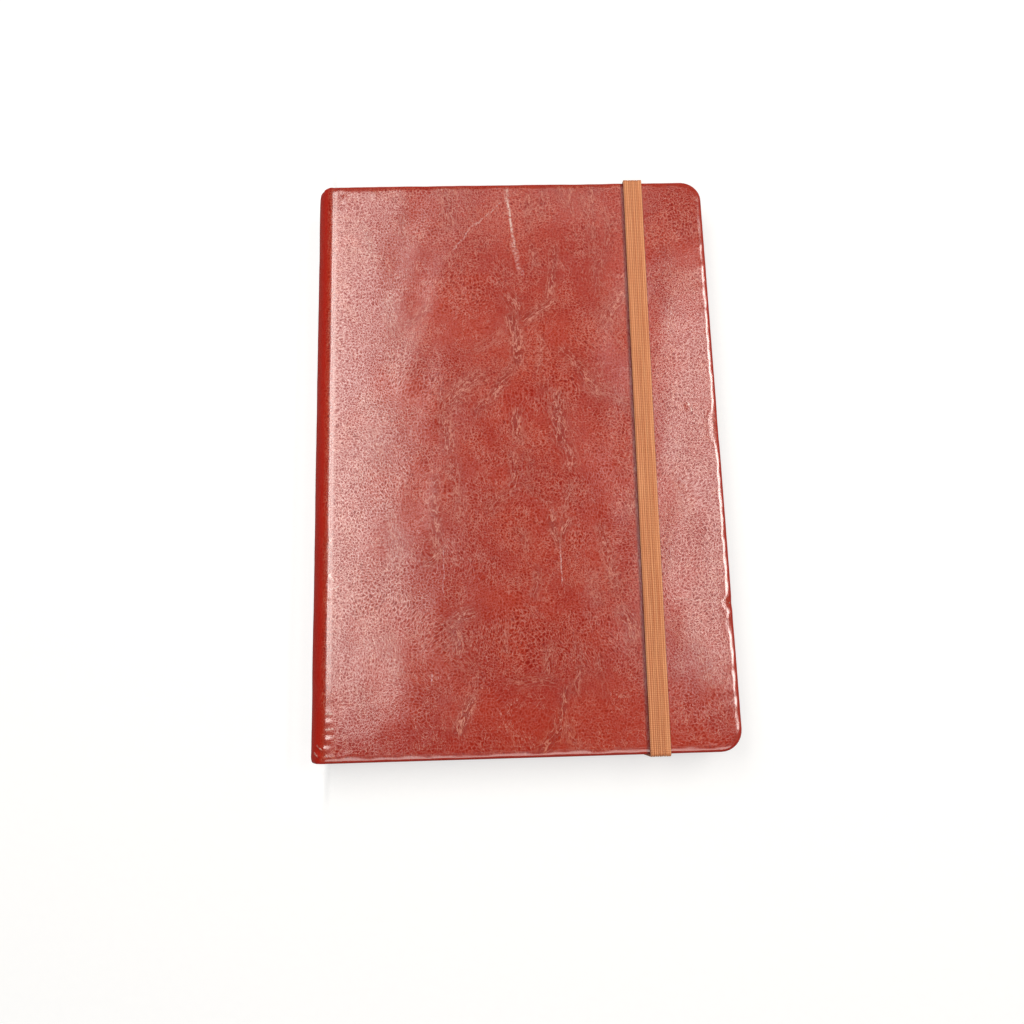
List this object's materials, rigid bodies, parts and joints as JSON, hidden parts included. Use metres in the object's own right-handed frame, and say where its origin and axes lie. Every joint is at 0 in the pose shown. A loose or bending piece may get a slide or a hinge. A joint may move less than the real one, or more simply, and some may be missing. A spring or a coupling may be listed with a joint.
{
  "type": "hardcover notebook",
  "caption": "Case-bound leather notebook with rounded fore corners, a hollow spine, sewn sections between endpapers and a woven elastic closure.",
  "frame": {"origin": "on the resting face, under the middle of the closed notebook", "axes": "+X from the spine to the fore-edge, +Y from the tail to the head, +Z out of the front cover"},
  "size_m": [0.147, 0.2148, 0.017],
  "materials": {
    "leather": "glossy crinkled oxblood leather",
    "board": "grey binder's board",
    "paper": "cream writing paper",
    "endpaper": "plain cream endpaper",
    "lining": "open cotton mull over glue",
    "headband": "striped woven band",
    "elastic": "ribbed woven elastic, tan"
  },
  "bodies": {
    "back_cover": {"leather_back": "leather", "back_board": "board", "rear_pastedown": "endpaper", "rear_flyleaf": "endpaper", "leather_hinge_back": "leather", "section_07": "paper", "section_08": "paper", "section_09": "paper", "section_10": "paper", "section_11": "paper", "section_12": "paper", "spine_lining_rear": "lining", "headband_rear": "headband", "tailband_rear": "headband", "elastic_anchor_head": "elastic", "elastic_anchor_tail": "elastic", "elastic_leg_head": "elastic", "elastic_leg_tail": "elastic"},
    "spine": {"leather_spine": "leather", "spine_liner": "board"},
    "front_cover": {"leather_front": "leather", "front_board": "board", "front_pastedown": "endpaper", "leather_hinge_front": "leather"},
    "front_pages": {"front_flyleaf": "endpaper", "section_01": "paper", "section_02": "paper", "section_03": "paper", "section_04": "paper", "section_05": "paper", "section_06": "paper", "spine_lining_front": "lining", "headband_front": "headband", "tailband_front": "headband"},
    "elastic": {"elastic_band": "elastic"}
  },
  "joints": [
    {"name": "pages_hinge", "type": "hinge", "parent": "back_cover", "child": "front_pages", "pos_m": [-0.06877, 0, 0.00805], "axis": [0, -1, 0], "range_deg": [0, 180]},
    {"name": "spine_hinge", "type": "hinge", "parent": "back_cover", "child": "spine", "pos_m": [-0.06877, 0, 0.00144], "axis": [0, -1, 0], "range_deg": [0, 90], "deforming": ["leather_hinge_back", "elastic_band"]},
    {"name": "front_cover_hinge", "type": "hinge", "parent": "spine", "child": "front_cover", "pos_m": [-0.06877, 0, 0.01466], "axis": [0, -1, 0], "range_deg": [0, 90], "deforming": ["leather_hinge_front"]},
    {"name": "elastic_slide", "type": "slide", "parent": "back_cover", "child": "elastic", "axis": [1, 0, 0], "range_m": [0, 0.032], "stiffness_N_per_m": 25, "deforming": ["elastic_leg_head", "elastic_leg_tail"]}
  ],
  "couplings": [
    {"joint": "spine_hinge", "follows": "pages_hinge", "ratio": 0.5},
    {"joint": "front_cover_hinge", "follows": "pages_hinge", "ratio": 0.5}
  ]
}
